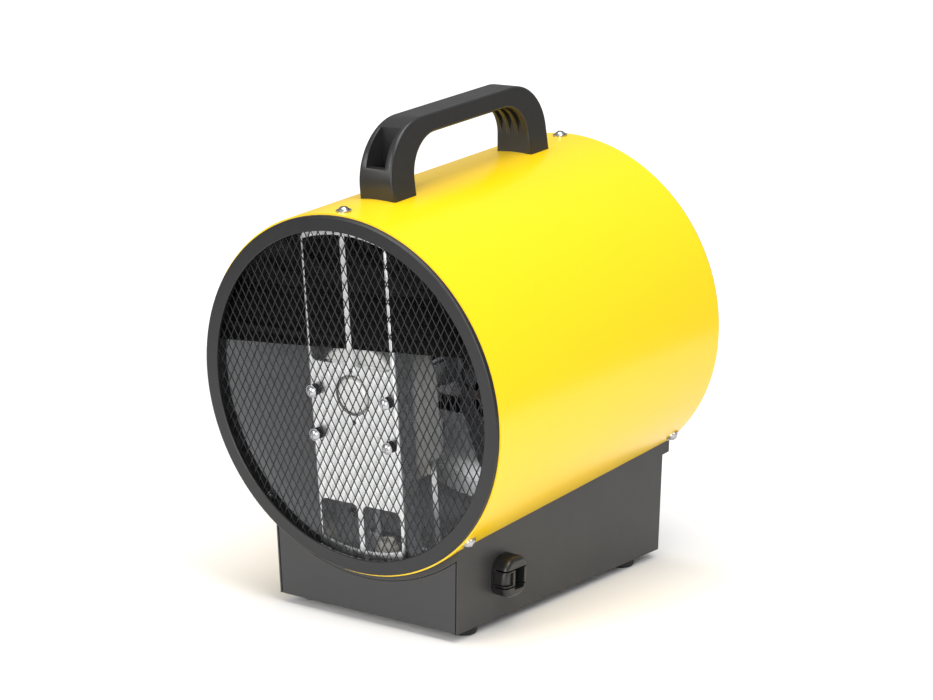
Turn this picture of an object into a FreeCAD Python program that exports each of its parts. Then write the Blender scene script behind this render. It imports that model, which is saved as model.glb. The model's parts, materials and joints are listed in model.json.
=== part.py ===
"""Portable ceramic fan heater: a tilted drum on a folded sheet-steel base.

Lengths are millimetres.  The finished model stands on Z = 0 with +Z up; air enters at the -Y end of the
drum and leaves at the +Y end.  Drum pieces are drawn about the drum's own axis (the Y axis, origin at the
middle of the drum) and are then tipped and lifted by in_drum().  Base pieces are drawn upright, with Z
measured from the floor.
"""
import FreeCAD, Part
import math
import os

V = FreeCAD.Vector

# ---------------------------------------------------------------- driving dimensions
drum_radius = 110.0          # outside of the drum tube
drum_length = 231.5
drum_wall = 1.0
drum_tilt = 5.1              # degrees, the outlet end is the higher one

ring_lip = 2.6               # how far an end ring stands out of the drum
ring_face_width = 8.9
ring_gap = 1.1               # open groove between ring face and the outside of the drum
skirt_depth = 14.0
skirt_wall = 2.0
mesh_thickness = 1.2
mesh_width = 5.7             # one diamond, side to side
mesh_height = 10.35          # one diamond, tip to tip
mesh_strand = 0.95

screw_inset = 7.35           # drum screws, from the drum's end
seam_to_screw = 5.0          # degrees from the base seam up to the lower drum screws
screw_shank = 1.9
screw_clearance = 0.2
nut_height = 2.4

bracket_width = 66.0         # motor bracket
bracket_plate_set = 3.75     # plate face, in from the drum's end
bracket_wall = 1.5
bracket_flange = 15.0
bracket_end_flange = 14.0
rib_width = 3.8
edge_rib_width = 2.9
window_lip = 5.0            # folded edge behind the windows
window_top = 18.0            # lower edge of the two upper windows
window_bottom = -68.0        # upper edge of the two lower windows
window_corner = 4.0

motor_side_gap = 0.5         # motor to the bracket's side flanges
motor_bottom = -45.0
motor_stand_off = 4.0        # bracket plate to motor shield
motor_depth = 37.5
shield_wall = 1.5
stack_half_width = 25.0
stack_depth = 22.0
limb_top, limb_bottom = -34.0, -43.5
coil_length = 42.0
coil_reach_z = 14.0
bobbin_wall = 1.0
boss_radius = 11.0
bearing_radius = 8.0
bearing_length = 5.0
rotor_radius = 11.0
shaft_radius = 3.0
running_gap = 0.04           # radial, shaft in a sleeve bearing
motor_bolt_x = 27.4
motor_bolt_levels = (0.0, -27.0)
bolt_clearance = 0.25        # radial, bolt through the intake mesh
bolt_radius = 1.9
grommet_flange = 1.0
grommet_radius = 3.5
grommet_neck = 2.9

fan_tip_gap = 16.0           # blade tips to the drum wall
fan_blades = 5
fan_phase = 150.0            # degrees round the axis to the first blade
fan_to_element = 51.0
fan_pitch = 32.0
blade_chord = 46.0
fan_sheet = 1.0

liner_gap = 4.0              # air gap between drum and heat shield
liner_wall = 0.5
liner_lead = 19.5            # liner in front of the element plate
element_set = 84.75          # element plate, in from the drum's outlet end
element_depth = 26.0
element_clearance = 6.0      # frame corners to the liner
element_slope = 38.0         # degrees from the drum axis to the frame's corner
element_rows = 4
ceramic_height = 5.0
fin_pitch = 4.0
fin_wall = 0.6
frame_side = 8.0
frame_rail = 2.0
cutout_radius = 6.0
tab_depth = 6.3
tab_wall = 0.8

base_room = 36.0             # drum underside over the bottom of the base at mid-length
base_half_width = 67.9       # at the bottom of the base
seam_half_width = 70.0       # where the side walls meet the drum
front_lean = 1.8             # intake face, further out at the seam than at the bottom
base_front_set = 15.85       # base intake face, in from the drum's end
base_rear_set = 0.65         # base outlet face, in from the drum's end
base_wall = 1.0
saddle_wall = 1.2
saddle_overhang = 7.4
seam_drop = 3.0              # lip under the drum at each end of the base
panel_gap = 0.3
panel_side_gap = 0.8
panel_flange = 12.0
base_flange = 10.0
bottom_sheet = 1.0
foot_height = 6.0
foot_radius = 8.5
foot_inset_x = 11.1
foot_inset_front = 20.0
foot_inset_rear = 27.0
saddle_screw_angle = 26.0    # degrees either side of straight down
saddle_screw_radius = 1.9
wire_bush_radius = 5.0

gland_inset = 42.9           # from the base intake face
gland_rise = 27.0            # over the bottom of the base
gland_width = 22.0
gland_height = 24.8
gland_depth = 11.0
cord_hole_width = 9.0
cord_hole_height = 13.0
wedge_half = 4.0

handle_width = 27.4          # at the feet
grip_width = 21.0            # at the top
handle_rise = 43.5           # top of the grip over the drum
grip_thickness = 11.2
handle_rounding = 1.7
handle_front_set = 38.65     # outer foot of the intake-side leg, in from the drum's end
handle_rear_set = 37.45
leg_thickness_front = 20.7
leg_thickness_rear = 20.4
pocket_width = 14.0
pocket_wall = 4.5
sill_rise = 18.2             # pocket sill over the drum
floor_rise = 4.5             # pocket floor over the drum
handle_bolt_radius = 2.2
corner_outer_front, corner_outer_rear = 34.0, 30.0
corner_inner_front, corner_inner_rear = 24.0, 22.0
lean_front, lean_rear = -5.1, -2.2
slot_width, slot_pitch = 3.4, 6.4
slot_steps = (-1, 0, 1)

control_spacing = 72.0
control_rise = 23.0          # over the bottom of the base
spindle_radius = 3.0
knob_radius = 13.0
knob_height = 16.0
bushing_radius = 5.0
bushing_length = 5.0
lamp_radius = 4.5
lamp_rise = 28.0

terminal_x = 24.0
terminal_inset = 41.9
terminal_poles = 3

# ---------------------------------------------------------------- derived dimensions
half_length = drum_length / 2
axis_height = foot_height + base_room + drum_radius
drum_bore = drum_radius - drum_wall
skirt_bore = drum_bore - skirt_wall
ring_side = drum_radius - ring_gap
ring_face_inner = ring_side - ring_face_width
mesh_rim = ring_face_inner + 4.5
seam_angle = math.degrees(math.acos(seam_half_width / drum_radius))
screw_angles = (90.0, seam_to_screw - seam_angle, seam_angle - seam_to_screw - 180.0)

plate_front = -half_length + bracket_plate_set
plate_back = plate_front + bracket_wall
window_outer_radius = ring_face_inner - 3.5
shield_front = plate_back + motor_stand_off
bolt_seat = -half_length - mesh_thickness / 2
motor_rear = shield_front + motor_depth
motor_half = bracket_width / 2 - bracket_wall - motor_side_gap
stack_front = shield_front + (motor_depth - stack_depth) / 2
stack_rear = stack_front + stack_depth
window_half = coil_length / 2 + bobbin_wall + 0.1
coil_reach_y = (motor_depth - stack_depth) / 2 - shield_wall - 0.4
front_bearing_y = shield_front - bearing_length
shaft_front = front_bearing_y + 0.5

liner_radius = drum_bore - liner_gap
liner_bore = liner_radius - liner_wall
liner_end = half_length - skirt_depth
element_start = half_length - element_set
liner_start = element_start - liner_lead
element_end = element_start + 1.0 + element_depth
frame_corner = liner_bore - element_clearance
frame_half_x = frame_corner * math.cos(math.radians(element_slope))
frame_half_z = frame_corner * math.sin(math.radians(element_slope))
element_width = 2 * (frame_half_x - frame_side)
element_height = 2 * (frame_half_z - frame_rail)
row_height = element_height / element_rows
fin_height = (row_height - ceramic_height) / 2
frame_screws = [(sx * (element_width / 2 + frame_side / 2), sz * (frame_half_z - 6.0))
                for sx in (-1, 1) for sz in (-1, 1)]
rivet_angles = (0.0, 90.0, 180.0, 270.0)
rivet_radius = 1.6
rivet_y = element_start + 5.0
cutout_x = -(frame_half_x + 10.0)
tab_y0 = element_start + 10.0

fan_radius = drum_bore - fan_tip_gap
fan_plane = element_start - fan_to_element
hub_front = fan_plane - 9.0
shaft_rear = fan_plane + 14.0

handle_front = handle_front_set - half_length
handle_rear = half_length - handle_rear_set
handle_root = drum_radius - 8.0
handle_top = drum_radius + handle_rise
handle_draft = (handle_width - grip_width) / 2 / (handle_top - handle_root)
underside = handle_top - grip_thickness
pocket_sill = drum_radius + sill_rise
pocket_floor = drum_radius + floor_rise
handle_screw_y = (handle_front + leg_thickness_front / 2, handle_rear - leg_thickness_rear / 2)

base_bottom = foot_height
base_front = base_front_set - half_length
base_rear = half_length - base_rear_set
side_inner = base_half_width - base_wall
panel_half = side_inner - panel_side_gap
seam_height = axis_height - math.sqrt(drum_radius ** 2 - seam_half_width ** 2)
side_flare = (seam_half_width - base_half_width) / (seam_height - base_bottom)
front_flare = front_lean / (seam_height - base_bottom)
panel_inner = base_rear - base_wall
panel_top_radius = drum_radius + saddle_wall + seam_drop + panel_gap
side_screw_places = [(sx * (side_inner - base_flange / 2), y) for sx in (-1, 1)
                     for y in (base_front + 34, base_rear - 50)]
panel_screw_places = [(sx * base_half_width / 2, y) for sx in (-1, 1)
                      for y in (base_front + 7, base_rear - 7)]
foot_places = [(sx * (base_half_width - foot_inset_x), y) for sx in (-1, 1)
               for y in (base_front + foot_inset_front, base_rear - foot_inset_rear)]
saddle_screw_places = [(-90 + side * saddle_screw_angle, y) for side in (-1, 1)
                       for y in (base_front + 38.0, base_rear - 43.0)]
wire_bush_place = (-94.7, motor_rear - 9.0)

gland_y = base_front + gland_inset
gland_z = base_bottom + gland_rise
neck_half_y = gland_width / 2 - 3.0
neck_half_z = gland_height / 2 - 4.5
hole_y = gland_y + 2.6
hole_z = gland_z - 1.0
terminal_y = base_front + terminal_inset
terminal_screw_places = [(terminal_x, terminal_y - 16.0), (terminal_x, terminal_y + 16.0)]

control_places = (-control_spacing / 2, control_spacing / 2)
control_height = base_bottom + control_rise
lamp_height = base_bottom + lamp_rise
spindle_end = base_rear + 14.0


# ---------------------------------------------------------------- drawing helpers
def box(x0, x1, y0, y1, z0, z1):
    """A block between two corners."""
    return Part.makeBox(x1 - x0, y1 - y0, z1 - z0, V(x0, y0, z0))


def rod(radius, start, end):
    """A round bar from one point to another."""
    line = V(*end) - V(*start)
    return Part.makeCylinder(radius, line.Length, V(*start), line)


def tube(outer, inner, y0, y1):
    """A pipe along the drum axis."""
    return rod(outer, (0, y0, 0), (0, y1, 0)).cut(rod(inner, (0, y0 - 1, 0), (0, y1 + 1, 0)))


def rounded_wire(corners, place):
    """A closed wire through corners (a, b, radius), each rounded by a tangent arc; place gives 3D points."""
    count = len(corners)
    edges, first, last = [], None, None
    for i in range(count):
        before, here, after = (V(corners[k % count][0], corners[k % count][1], 0) for k in (i - 1, i, i + 1))
        into, out = (before - here).normalize(), (after - here).normalize()
        radius = corners[i][2]
        if radius > 0:
            half = math.acos(max(-1.0, min(1.0, into.dot(out)))) / 2
            reach = radius / math.tan(half)
            start, end = here + into * reach, here + out * reach
            middle_line = (into + out).normalize()
            middle = here + middle_line * (radius / math.sin(half) - radius)
            edges.append(("arc", start, middle, end))
        else:
            start = end = here
        if last is not None:
            edges.insert(len(edges) - (1 if radius > 0 else 0), ("line", last, start))
        first = first or start
        last = end
    edges.append(("line", last, first))
    made = []
    for kind, *points in edges:
        spots = [place(p.x, p.y) for p in points]
        if kind == "arc":
            made.append(Part.Arc(*spots).toShape())
        elif (spots[0] - spots[1]).Length > 1e-6:
            made.append(Part.LineSegment(*spots).toShape())
    return Part.Wire(made)


def plate_along_x(corners, x0, x1):
    """Extrude a rounded outline drawn in (y, z) from x0 to x1."""
    wire = rounded_wire(corners, lambda a, b: V(x0, a, b))
    return Part.Face(wire).extrude(V(x1 - x0, 0, 0))


def plate_along_y(corners, y0, y1):
    """Extrude a rounded outline drawn in (x, z) from y0 to y1."""
    wire = rounded_wire(corners, lambda a, b: V(a, y0, b))
    return Part.Face(wire).extrude(V(0, y1 - y0, 0))


def plate_along_z(corners, z0, z1):
    """Extrude a rounded outline drawn in (x, y) from z0 to z1."""
    wire = rounded_wire(corners, lambda a, b: V(a, b, z0))
    return Part.Face(wire).extrude(V(0, 0, z1 - z0))


def rectangle(a0, a1, b0, b1, radius=0.0):
    """Corners of a rectangle, each with the same rounding."""
    return [(a0, b0, radius), (a1, b0, radius), (a1, b1, radius), (a0, b1, radius)]


def turned(points, y_of):
    """A body of revolution about the drum axis from (radius, distance) points."""
    spots = [V(r, y_of(s), 0) for r, s in points]
    wire = Part.makePolygon(spots + [spots[0]])
    return Part.Face(wire).revolve(V(0, 0, 0), V(0, 1, 0), 360)


def turned_z(points, centre):
    """A body of revolution about a vertical line from (radius, height) points."""
    spots = [V(r, 0, z) for r, z in points]
    wire = Part.makePolygon(spots + [spots[0]])
    solid = Part.Face(wire).revolve(V(0, 0, 0), V(0, 0, 1), 360)
    solid.translate(V(*centre))
    return solid


def polar(radius, angle, y):
    """A point at a radius and an angle round the drum axis."""
    a = math.radians(angle)
    return (radius * math.cos(a), y, radius * math.sin(a))


def cross_slots(centre, axis, size, depth):
    """The two crossed blades that cut a cross recess into a screw head whose axis is X, Y or Z."""
    cuts = []
    for k in (0, 1):
        half = {"X": (depth, size, 0.35), "Y": (size, depth, 0.35), "Z": (size, 0.35, depth)}[axis]
        if k:
            half = {"X": (depth, 0.35, size), "Y": (0.35, depth, size), "Z": (0.35, size, depth)}[axis]
        cuts.append(box(centre[0] - half[0], centre[0] + half[0], centre[1] - half[1], centre[1] + half[1],
                        centre[2] - half[2], centre[2] + half[2]))
    return cuts


def dome_head(radius, height, flange_radius, flange):
    """A domed screw head on a washer flange, standing on Z = 0."""
    washer = Part.makeCylinder(flange_radius, flange)
    ball_radius = (radius ** 2 + height ** 2) / (2 * height)
    ball = Part.makeSphere(ball_radius, V(0, 0, flange + height - ball_radius))
    cap = ball.common(Part.makeCylinder(flange_radius, height + 1, V(0, 0, flange)))
    head = washer.fuse(cap)
    for slot in cross_slots((0, 0, flange + height), "Z", radius * 0.62, height * 0.55):
        head = head.cut(slot)
    return head


def aim(shape, origin, direction):
    """Turn a shape drawn up the Z axis so that it points along a direction from an origin."""
    turn = FreeCAD.Rotation(V(0, 0, 1), V(*direction))
    placed = shape.copy()
    placed.Placement = FreeCAD.Placement(V(*origin), turn)
    return placed


def in_drum(shape):
    """Tip a piece drawn about the drum axis and lift it to its height over the floor."""
    placed = shape.copy()
    placed.rotate(V(0, 0, 0), V(1, 0, 0), drum_tilt)
    placed.translate(V(0, 0, axis_height))
    return placed


def drum_space(radius):
    """The tilted cylinder of a given radius, long enough to trim any base piece."""
    return in_drum(rod(radius, (0, -2 * drum_length, 0), (0, 2 * drum_length, 0)))


def out_of(end):
    """Distance s beyond a drum end plane as a Y coordinate; end is -1 at the intake, +1 at the outlet."""
    return lambda s: end * (half_length + s)


# ---------------------------------------------------------------- drum, rings and meshes
def screw_places():
    """Every drum screw as (angle, y)."""
    return [(a, end * (half_length - screw_inset)) for end in (-1, 1) for a in screw_angles]


def make_drum_tube():
    """The painted steel tube with its screw and wiring holes."""
    body = tube(drum_radius, drum_bore, -half_length, half_length)
    holes = [rod(screw_shank + screw_clearance, polar(skirt_bore - 5, a, y), polar(drum_radius + 5, a, y))
             for a, y in screw_places()]
    holes += [rod(handle_bolt_radius + screw_clearance, (0, y, drum_bore - 5), (0, y, drum_radius + 5))
              for y in handle_screw_y]
    holes += [rod(saddle_screw_radius + screw_clearance, polar(drum_bore - 5, a, y),
                  polar(drum_radius + 5, a, y)) for a, y in saddle_screw_places]
    a, y = wire_bush_place
    holes.append(rod(wire_bush_radius, polar(drum_bore - 5, a, y), polar(drum_radius + 5, a, y)))
    return body.cut(Part.makeCompound(holes))


def make_ring(end):
    """End ring: rounded face, mesh groove and a skirt inside the tube."""
    front, lip = ring_lip, 1.0
    half_mesh = mesh_thickness / 2
    back = -half_mesh - 1.4
    points = [(ring_face_inner, half_mesh), (ring_face_inner, front - 0.5), (ring_face_inner + 0.5, front),
              (ring_side - lip, front), (ring_side - lip * 0.3, front - lip * 0.3), (ring_side, front - lip),
              (ring_side, -4.0), (drum_bore, -4.0), (drum_bore, -skirt_depth), (skirt_bore, -skirt_depth),
              (skirt_bore, back - 0.2), (ring_face_inner + 2, back), (ring_face_inner + 2, -half_mesh),
              (mesh_rim, -half_mesh), (mesh_rim, half_mesh)]
    body = turned(points, out_of(end))
    holes = [rod(screw_shank + screw_clearance, polar(skirt_bore - 5, a, y), polar(drum_bore + 5, a, y))
             for a, y in screw_places() if y * end > 0]
    return body.cut(Part.makeCompound(holes))


def make_mesh(end):
    """Expanded-metal disc: whole diamonds inside a plain rim, and at the intake four bolt holes."""
    y0 = end * half_length - mesh_thickness / 2
    outline = Part.Wire(Part.makeCircle(mesh_rim, V(0, y0, 0), V(0, 1, 0)))
    slope = math.hypot(mesh_width, mesh_height)
    shrink = mesh_strand * slope / (2 * mesh_width * mesh_height)
    half_w, half_h = mesh_width * (0.5 - shrink), mesh_height * (0.5 - shrink)
    limit = ring_face_inner + 1.2
    holes = []
    columns = int(2 * mesh_rim / mesh_width) + 2
    rows = int(2 * mesh_rim / mesh_height) + 2
    for row in range(-rows, rows + 1):
        z = row * mesh_height / 2
        for column in range(-columns, columns + 1):
            x = (column + (row % 2) / 2) * mesh_width
            tips = [(x - half_w, z), (x, z - half_h), (x + half_w, z), (x, z + half_h)]
            if max(math.hypot(*tip) for tip in tips) < limit:
                spots = [V(a, y0, b) for a, b in tips]
                holes.append(Part.makePolygon(spots + [spots[0]]))
    disc = Part.Face([outline] + holes).extrude(V(0, mesh_thickness, 0))
    if end > 0:
        return disc
    bores = [rod(bolt_radius + bolt_clearance, (x, y0 - 1, z), (x, y0 + mesh_thickness + 1, z))
             for x, z in bolt_places()]
    return disc.cut(Part.makeCompound(bores))


def tube_screw_shape():
    """Drum screw: domed washer head outside, shank reaching the nut."""
    head = dome_head(3.6, 2.2, 4.6, 0.9)
    reach = drum_radius - skirt_bore + nut_height + 1.0
    return head.fuse(Part.makeCylinder(screw_shank, reach + bracket_wall, V(0, 0, -reach - bracket_wall)))


def make_tube_screws():
    """Three screws at each end of the drum."""
    head = tube_screw_shape()
    solids = []
    for angle, y in screw_places():
        solids.append(aim(head, polar(drum_radius, angle, y), polar(1, angle, 0)))
    return Part.makeCompound(solids)


def hex_nut(width, height, bore):
    """A hexagon nut standing on Z = 0."""
    corner = width / math.sqrt(3)
    spots = [V(corner * math.cos(k * math.pi / 3), corner * math.sin(k * math.pi / 3), 0) for k in range(7)]
    nut = Part.Face(Part.makePolygon(spots)).extrude(V(0, 0, height))
    return nut.cut(Part.makeCylinder(bore, height + 2, V(0, 0, -1)))


def make_tube_nuts():
    """Nuts inside the ring skirts; the top screw at the intake threads into the bracket flange instead."""
    nut = hex_nut(7.0, nut_height, screw_shank)
    seat = skirt_bore * math.cos(math.asin(4.1 / skirt_bore))
    return Part.makeCompound([aim(nut, polar(seat - nut_height, angle, y), polar(1, angle, 0))
                              for angle, y in screw_places() if angle != 90.0 or y > 0])


# ---------------------------------------------------------------- motor bracket and motor
def bolt_places():
    """The four motor bolts as (x, z)."""
    return [(side * motor_bolt_x, z) for side in (-1, 1) for z in motor_bolt_levels]


def make_motor_bracket():
    """Galvanised channel across the intake with four lipped windows and curved end flanges."""
    half = bracket_width / 2
    bend = 2.2
    outer = [(-half, plate_front + bracket_flange, 0), (-half, plate_front, bend), (half, plate_front, bend),
             (half, plate_front + bracket_flange, 0), (half - bracket_wall, plate_front + bracket_flange, 0),
             (half - bracket_wall, plate_back, bend - bracket_wall),
             (-half + bracket_wall, plate_back, bend - bracket_wall),
             (-half + bracket_wall, plate_front + bracket_flange, 0)]
    channel = plate_along_z(outer, -drum_radius, drum_radius)
    flange = tube(skirt_bore, skirt_bore - bracket_wall, plate_front, plate_front + bracket_end_flange)
    strip = box(-half + bracket_wall + 1, half - bracket_wall - 1, plate_front, motor_rear, -drum_radius,
                drum_radius)
    body = channel.common(rod(skirt_bore, (0, plate_front - 1, 0), (0, motor_rear, 0)))
    body = body.fuse(flange.common(strip))
    inner, outer_edge = rib_width / 2, half - edge_rib_width
    for side in (-1, 1):
        x0, x1 = sorted((side * inner, side * (inner - bracket_wall)))
        low, high = sorted((side * (inner - bracket_wall), side * (outer_edge - window_corner)))
        for z0, z1, edge in ((window_top - bracket_wall, drum_radius, window_top - bracket_wall),
                             (-drum_radius, window_bottom + bracket_wall, window_bottom)):
            lip = box(x0, x1, plate_front, plate_front + window_lip, z0, z1)
            sill = box(low, high, plate_front, plate_front + window_lip, edge, edge + bracket_wall)
            body = body.fuse(lip.fuse(sill).common(rod(skirt_bore, (0, plate_front, 0), (0, plate_back + 9, 0))))
    disc = rod(window_outer_radius, (0, plate_front - 1, 0), (0, plate_back + 1, 0))
    cuts = []
    for side in (-1, 1):
        low, high = sorted((side * inner, side * outer_edge))
        for z0, z1 in ((window_top, drum_radius), (-drum_radius, window_bottom)):
            hole = plate_along_y(rectangle(low, high, z0, z1, window_corner), plate_front - 1, plate_back + 1)
            cuts.append(hole.common(disc))
    cuts.append(rod(boss_radius + 1.6, (0, plate_front - 1, 0), (0, plate_back + 1, 0)))
    for z in (15.0, -16.5):
        cuts.append(rod(1.5, (0, plate_front - 1, z), (0, plate_back + 1, z)))
    for x, z in bolt_places():
        cuts.append(rod(grommet_neck, (x, plate_front - 1, z), (x, plate_back + 1, z)))
    y = -half_length + screw_inset
    cuts.append(rod(screw_shank, (0, y, skirt_bore - 5), (0, y, skirt_bore + 5)))
    return body.cut(Part.makeCompound(cuts)).removeSplitter()


def make_motor_grommets():
    """Rubber grommets in the bracket plate, one on each bolt."""
    solids = []
    for x, z in bolt_places():
        body = rod(grommet_radius, (x, plate_front - grommet_flange, z), (x, plate_front, z))
        body = body.fuse(rod(grommet_neck, (x, plate_front, z), (x, plate_back, z)))
        body = body.fuse(rod(grommet_radius, (x, plate_back, z), (x, shield_front, z)))
        solids.append(body.cut(rod(bolt_radius, (x, bolt_seat, z), (x, motor_rear, z))))
    return Part.makeCompound(solids)


def make_motor_bolts():
    """Through bolts: pan head in front of the intake mesh, nut behind the motor."""
    solids = []
    for x, z in bolt_places():
        head = aim(dome_head(3.4, 1.7, 3.7, 0.6), (x, bolt_seat, z), (0, -1, 0))
        shank = rod(bolt_radius, (x, bolt_seat, z), (x, motor_rear + 4.2, z))
        solids.append(head.fuse(shank))
    return Part.makeCompound(solids)


def make_motor_nuts():
    """Nuts on the rear ends of the through bolts; the lower two clamp the strap."""
    nut = hex_nut(6.4, 2.2, bolt_radius)
    solids = []
    for x, z in bolt_places():
        seat = motor_rear + (1.2 if z < motor_bottom + 23.0 else 0.0)
        solids.append(aim(nut, (x, seat, z), (0, 1, 0)))
    return Part.makeCompound(solids)


def motor_outline(inset, y0, y1, bottom):
    """Straight-sided block under a half-round top, the cross-section of the motor."""
    half = motor_half - inset
    return box(-half, half, y0, y1, bottom, 0).fuse(rod(half, (0, y0, 0), (0, y1, 0))).removeSplitter()


def make_shield(end):
    """One pressed motor shield: face, rim round the stack, bearing boss and bolt posts."""
    face, step = (shield_front, 1) if end < 0 else (motor_rear, -1)
    rim_end = face + step * (motor_depth / 2 - 0.2)
    body = motor_outline(0.0, *sorted((face, rim_end)), motor_bottom)
    face_edges = [e for e in body.Edges if e.BoundBox.YLength < 0.01 and abs(e.BoundBox.YMin - face) < 0.01]
    body = body.makeFillet(4.0 if end < 0 else 2.5, face_edges)
    inner_face = face + step * shield_wall
    body = body.cut(motor_outline(shield_wall, *sorted((inner_face, rim_end + step)), motor_bottom - 10))
    boss_end = face - step * (bearing_length + shield_wall)
    body = body.fuse(rod(boss_radius, (0, inner_face, 0), (0, boss_end, 0)))
    tip = [e for e in body.Edges if e.BoundBox.YLength < 0.01 and abs(e.BoundBox.YMin - boss_end) < 0.01]
    body = body.makeFillet(2.5, tip)
    stack_face = stack_front if end < 0 else stack_rear
    for x, z in bolt_places():
        post = rod(3.2, (x, inner_face, z), (x, stack_face, z))
        body = body.fuse(post.common(motor_outline(0.5, *sorted((face, rim_end)), motor_bottom)))
    cuts = [rod(bearing_radius, (0, inner_face + step, 0), (0, boss_end + step * shield_wall, 0))]
    if end > 0:
        cuts.append(rod(shaft_radius + 1.0, (0, inner_face, 0), (0, boss_end - step, 0)))
    cuts += [rod(bolt_radius, (x, plate_front, z), (x, motor_rear + 10, z)) for x, z in bolt_places()]
    return body.cut(Part.makeCompound(cuts)).removeSplitter()


def make_stator_stack():
    """Laminated C-frame: rotor bore above, wound limb below."""
    half, top = stack_half_width, motor_half - shield_wall
    body = box(-half, half, stack_front, stack_rear, limb_bottom, 0)
    body = body.fuse(box(-half, half, stack_front, stack_rear, 0, top).common(
        rod(top, (0, stack_front, 0), (0, stack_rear, 0)))).removeSplitter()
    cuts = [rod(rotor_radius + 0.4, (0, stack_front - 1, 0), (0, stack_rear + 1, 0)),
            box(-window_half, window_half, stack_front - 1, stack_rear + 1, limb_top, -16.0),
            box(-1.5, 1.5, stack_front - 1, stack_rear + 1, -17.0, 0)]
    return body.cut(Part.makeCompound(cuts))


def make_coil_bobbin():
    """Nylon bobbin on the lower limb."""
    y0, y1 = stack_front - bobbin_wall, stack_rear + bobbin_wall
    z0, z1 = limb_bottom - bobbin_wall, limb_top + bobbin_wall
    half = coil_length / 2
    body = box(-half, half, y0, y1, z0, z1)
    for side in (-1, 1):
        x0, x1 = sorted((side * half, side * (half + bobbin_wall)))
        body = body.fuse(box(x0, x1, stack_front - coil_reach_y, stack_rear + coil_reach_y,
                             limb_bottom - coil_reach_z, limb_top + coil_reach_z))
    return body.cut(box(-half - 5, half + 5, stack_front, stack_rear, limb_bottom, limb_top)).removeSplitter()


def make_stator_coil():
    """The winding round the bobbin."""
    half = coil_length / 2
    reach_y, reach_z = coil_reach_y - 0.4, coil_reach_z - 0.8
    outline = rectangle(stack_front - reach_y, stack_rear + reach_y, limb_bottom - reach_z,
                        limb_top + reach_z, 2.5)
    body = plate_along_x(outline, -half, half)
    return body.cut(box(-half - 1, half + 1, stack_front - bobbin_wall, stack_rear + bobbin_wall,
                        limb_bottom - bobbin_wall, limb_top + bobbin_wall))


def make_motor_bearings():
    """Two sintered sleeve bearings, one in each boss."""
    solids = [tube(bearing_radius, shaft_radius + running_gap, y, y + bearing_length)
              for y in (front_bearing_y, motor_rear)]
    return Part.makeCompound(solids)


def make_motor_shaft():
    """Steel shaft from the front bearing to the fan nut."""
    return rod(shaft_radius, (0, shaft_front, 0), (0, shaft_rear, 0))


def make_rotor():
    """Squirrel-cage rotor pressed on the shaft."""
    return tube(rotor_radius, shaft_radius, stack_front - 2.0, stack_rear + 2.0)


def make_motor_strap():
    """Rear support strap: a cross plate on the lower bolts, two legs and a curved foot on the drum floor."""
    half, leg, wall = stack_half_width, 4.0, 1.2
    y0, y1 = motor_rear, motor_rear + wall
    plate = box(-motor_half, motor_half, y0, y1, motor_bottom, motor_bottom + 23.0)
    legs = box(-half, half, y0, y1, -drum_bore, motor_bottom + 1.0)
    legs = legs.cut(box(-half + leg, half - leg, y0 - 1, y1 + 1, -drum_radius, motor_bottom))
    legs = legs.common(rod(drum_bore - wall / 2, (0, y0 - 1, 0), (0, y1 + 1, 0)))
    foot = tube(drum_bore, drum_bore - wall, y0, y0 + 9.0)
    foot = foot.common(box(-half - 6.0, half + 6.0, y0 - 1, y0 + 20, -drum_radius, -drum_radius / 2))
    body = plate.fuse(legs).fuse(foot)
    cuts = [rod(bolt_radius, (x, y0 - 1, z), (x, y1 + 1, z)) for x, z in bolt_places()]
    a, y = wire_bush_place
    cuts.append(rod(wire_bush_radius + 3.0, polar(drum_bore - 9, a, y), polar(drum_radius + 5, a, y)))
    return body.cut(Part.makeCompound(cuts)).removeSplitter()


# ---------------------------------------------------------------- fan
def make_fan_hub():
    """Turned hub: flange the blades sit on, and a spigot through them."""
    points = [(shaft_radius, hub_front - 1), (16.0, hub_front - 1), (17.0, hub_front), (17.0, hub_front + 2),
              (9.0, hub_front + 2), (9.0, fan_plane - fan_sheet / 2), (6.0, fan_plane - fan_sheet / 2),
              (6.0, fan_plane + fan_sheet / 2), (shaft_radius, fan_plane + fan_sheet / 2)]
    return turned(points, lambda y: y)


def make_fan_impeller():
    """Pressed paddle fan: a disc with pitched, round-ended blades."""
    neck, root, tip_round = 9.0, 12.0, blade_chord * 0.40
    widest = fan_radius * 0.72
    half = blade_chord / 2
    corners = [(root, -neck, 0), (root + 12, -neck, 9.0), (widest - half * 0.6, -half * 0.86, 16.0),
               (fan_radius, -half * 1.05, tip_round), (fan_radius, half * 0.80, tip_round),
               (widest - half * 0.6, half * 0.80, 16.0), (root + 12, neck, 9.0), (root, neck, 0)]
    blade = plate_along_y(corners, -fan_sheet / 2, fan_sheet / 2)
    blade.rotate(V(0, 0, 0), V(1, 0, 0), fan_pitch)
    blade.translate(V(0, fan_plane, 0))
    disc = tube(26.0, 6.0, fan_plane - fan_sheet / 2, fan_plane + fan_sheet / 2)
    body = disc
    for k in range(fan_blades):
        arm = blade.copy()
        arm.rotate(V(0, 0, 0), V(0, 1, 0), -fan_phase - k * 360.0 / fan_blades)
        body = body.fuse(arm)
    return body.cut(rod(6.0, (0, fan_plane - 30, 0), (0, fan_plane + 30, 0))).removeSplitter()


def make_fan_nut():
    """Nut and washer that hold the fan on its shaft."""
    y = fan_plane + fan_sheet / 2
    washer = tube(7.0, shaft_radius, y, y + 1.0)
    nut = aim(hex_nut(10.0, 5.0, shaft_radius), (0, y + 1.0, 0), (0, 1, 0))
    return washer.fuse(nut)


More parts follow.
